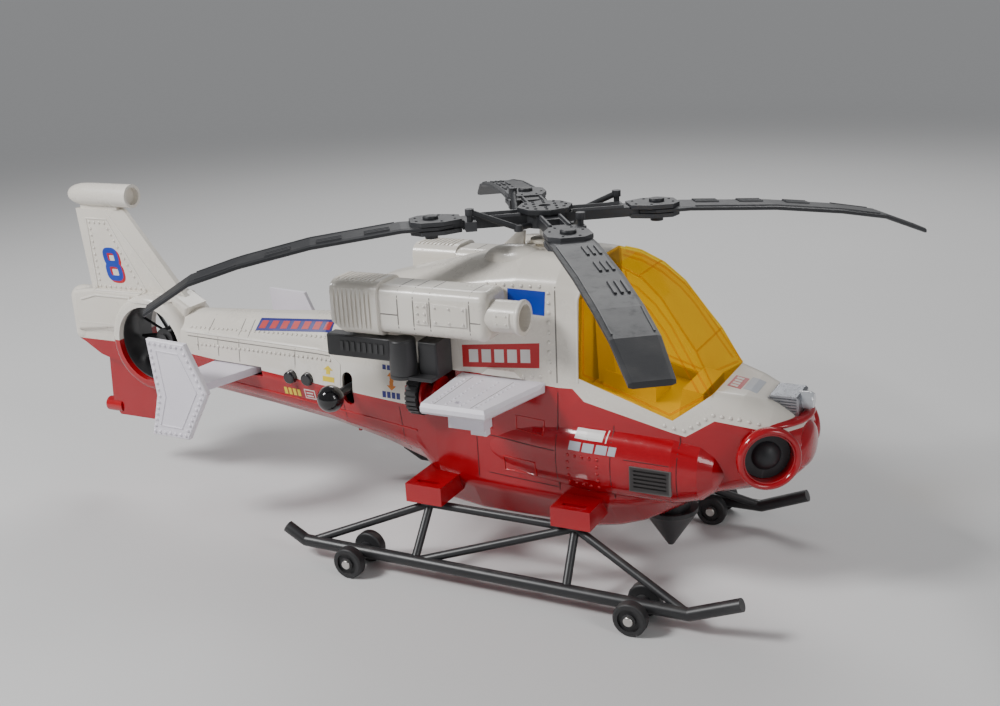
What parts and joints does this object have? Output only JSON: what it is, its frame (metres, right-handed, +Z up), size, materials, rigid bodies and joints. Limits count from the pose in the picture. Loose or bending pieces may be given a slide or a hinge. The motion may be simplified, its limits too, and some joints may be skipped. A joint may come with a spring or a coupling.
{
  "type": "toy helicopter",
  "caption": "Toy rescue helicopter with a drooping rotor, ducted tail fan, amber canopy, engine nacelles, stub wings, side winch and wheeled skids.",
  "frame": {"origin": "on the floor, at the middle of the overall length (rotor parked, tail bumper to blade tip), on the centre plane", "axes": "+X towards the nose, +Y to port, +Z up"},
  "size_m": [0.6386, 0.4296, 0.2425],
  "materials": {
    "white_shell": "warm white moulded plastic, satin gloss",
    "red_shell": "high gloss red moulded plastic",
    "pale_wing": "cool lilac-white moulded plastic",
    "amber_glazing": "clear amber moulded glazing",
    "cockpit": "pale moulded cockpit",
    "black_rotor": "dark grey moulded plastic with a fine sheen",
    "black_skid": "black moulded plastic",
    "black_gloss": "glossy black plastic",
    "chrome_lamp": "vacuum-metallised silver",
    "dark_grille": "dark embossed plate",
    "wheel": "black moulded wheel",
    "steel": "plain steel",
    "inner_plastic": "plain inner moulding",
    "battery": "plain dry-cell jacket",
    "board": "green circuit board"
  },
  "bodies": {
    "fuselage": {"batteries": "battery", "battery_box": "inner_plastic", "battery_cover": "red_shell", "belly_cone": "black_skid", "button_pad": "inner_plastic", "canopy": "amber_glazing", "circuit_board": "board", "cockpit_tub": "cockpit", "exhaust_left": "white_shell", "exhaust_right": "white_shell", "headlight_left": "black_gloss", "headlight_right": "black_gloss", "lower_shell": "red_shell", "mast_beam": "inner_plastic", "mast_bushes": "inner_plastic", "nacelle_left": "white_shell", "nacelle_right": "white_shell", "nose_searchlight": "chrome_lamp", "screws": "steel", "searchlight_lens": "chrome_lamp", "side_grille_left": "dark_grille", "side_grille_right": "dark_grille", "skid_left": "black_skid", "skid_right": "black_skid", "speaker": "board", "stabiliser_left": "pale_wing", "stabiliser_right": "pale_wing", "stub_wing_left": "pale_wing", "stub_wing_right": "pale_wing", "tail_fan_bracket": "black_skid", "tail_pod": "white_shell", "upper_shell": "white_shell", "winch_bracket": "black_skid"},
    "rotor": {"rotor_shaft": "steel", "rotor_hub": "black_rotor", "ratchet_wheel": "inner_plastic", "blade_1": "black_rotor", "blade_2": "black_rotor", "blade_3": "black_rotor", "blade_4": "black_rotor", "blade_clamps": "black_rotor", "blade_pins": "black_rotor", "pitch_links": "black_rotor"},
    "tail_rotor": {"tail_fan": "black_skid"},
    "hoist_arm": {"winch_arm": "black_skid"},
    "hoist_drum": {"thumbwheel": "black_skid", "winch_spool": "red_shell", "winch_axle": "steel"},
    "rotor_lever": {"drive_lever": "black_skid", "lever_knob": "black_gloss"},
    "rear_button": {"button_rear": "black_gloss"},
    "front_button": {"button_front": "black_gloss"},
    "wheel_pair_front_left": {"axle_front_left": "steel", "wheels_front_left": "wheel"},
    "wheel_pair_front_right": {"axle_front_right": "steel", "wheels_front_right": "wheel"},
    "wheel_pair_rear_left": {"axle_rear_left": "steel", "wheels_rear_left": "wheel"},
    "wheel_pair_rear_right": {"axle_rear_right": "steel", "wheels_rear_right": "wheel"}
  },
  "joints": [
    {"name": "rotor_spin", "type": "hinge", "parent": "fuselage", "child": "rotor", "pos_m": [0.1053, 0, 0.2315], "axis": [0, 0, 1], "continuous": true},
    {"name": "tail_fan_spin", "type": "hinge", "parent": "fuselage", "child": "tail_rotor", "pos_m": [-0.2264, 0, 0.12], "axis": [0, 1, 0], "continuous": true},
    {"name": "winch_swing", "type": "hinge", "parent": "fuselage", "child": "hoist_arm", "pos_m": [0.028, -0.06, 0.15], "axis": [0, 0, 1], "range_deg": [0, 100]},
    {"name": "winch_wind", "type": "hinge", "parent": "fuselage", "child": "hoist_drum", "pos_m": [0.0294, -0.043, 0.118], "axis": [1, 0, 0], "continuous": true},
    {"name": "lever_rock", "type": "hinge", "parent": "fuselage", "child": "rotor_lever", "pos_m": [-0.035, -0.007, 0.1103], "axis": [1, 0, 0], "range_deg": [-13, 13], "stiffness_Nm_per_rad": 0.05},
    {"name": "rear_button_press", "type": "slide", "parent": "fuselage", "child": "rear_button", "axis": [0, 1, 0], "range_m": [0, 0.0015], "stiffness_N_per_m": 400, "springref_m": -0.0005},
    {"name": "front_button_press", "type": "slide", "parent": "fuselage", "child": "front_button", "axis": [0, 1, 0], "range_m": [0, 0.0015], "stiffness_N_per_m": 400, "springref_m": -0.0005},
    {"name": "wheels_front_left_roll", "type": "hinge", "parent": "fuselage", "child": "wheel_pair_front_left", "pos_m": [0.195, 0.081, 0.0107], "axis": [0, 1, 0], "continuous": true},
    {"name": "wheels_front_right_roll", "type": "hinge", "parent": "fuselage", "child": "wheel_pair_front_right", "pos_m": [0.195, -0.081, 0.0107], "axis": [0, 1, 0], "continuous": true},
    {"name": "wheels_rear_left_roll", "type": "hinge", "parent": "fuselage", "child": "wheel_pair_rear_left", "pos_m": [-0.005, 0.081, 0.0107], "axis": [0, 1, 0], "continuous": true},
    {"name": "wheels_rear_right_roll", "type": "hinge", "parent": "fuselage", "child": "wheel_pair_rear_right", "pos_m": [-0.005, -0.081, 0.0107], "axis": [0, 1, 0], "continuous": true}
  ]
}
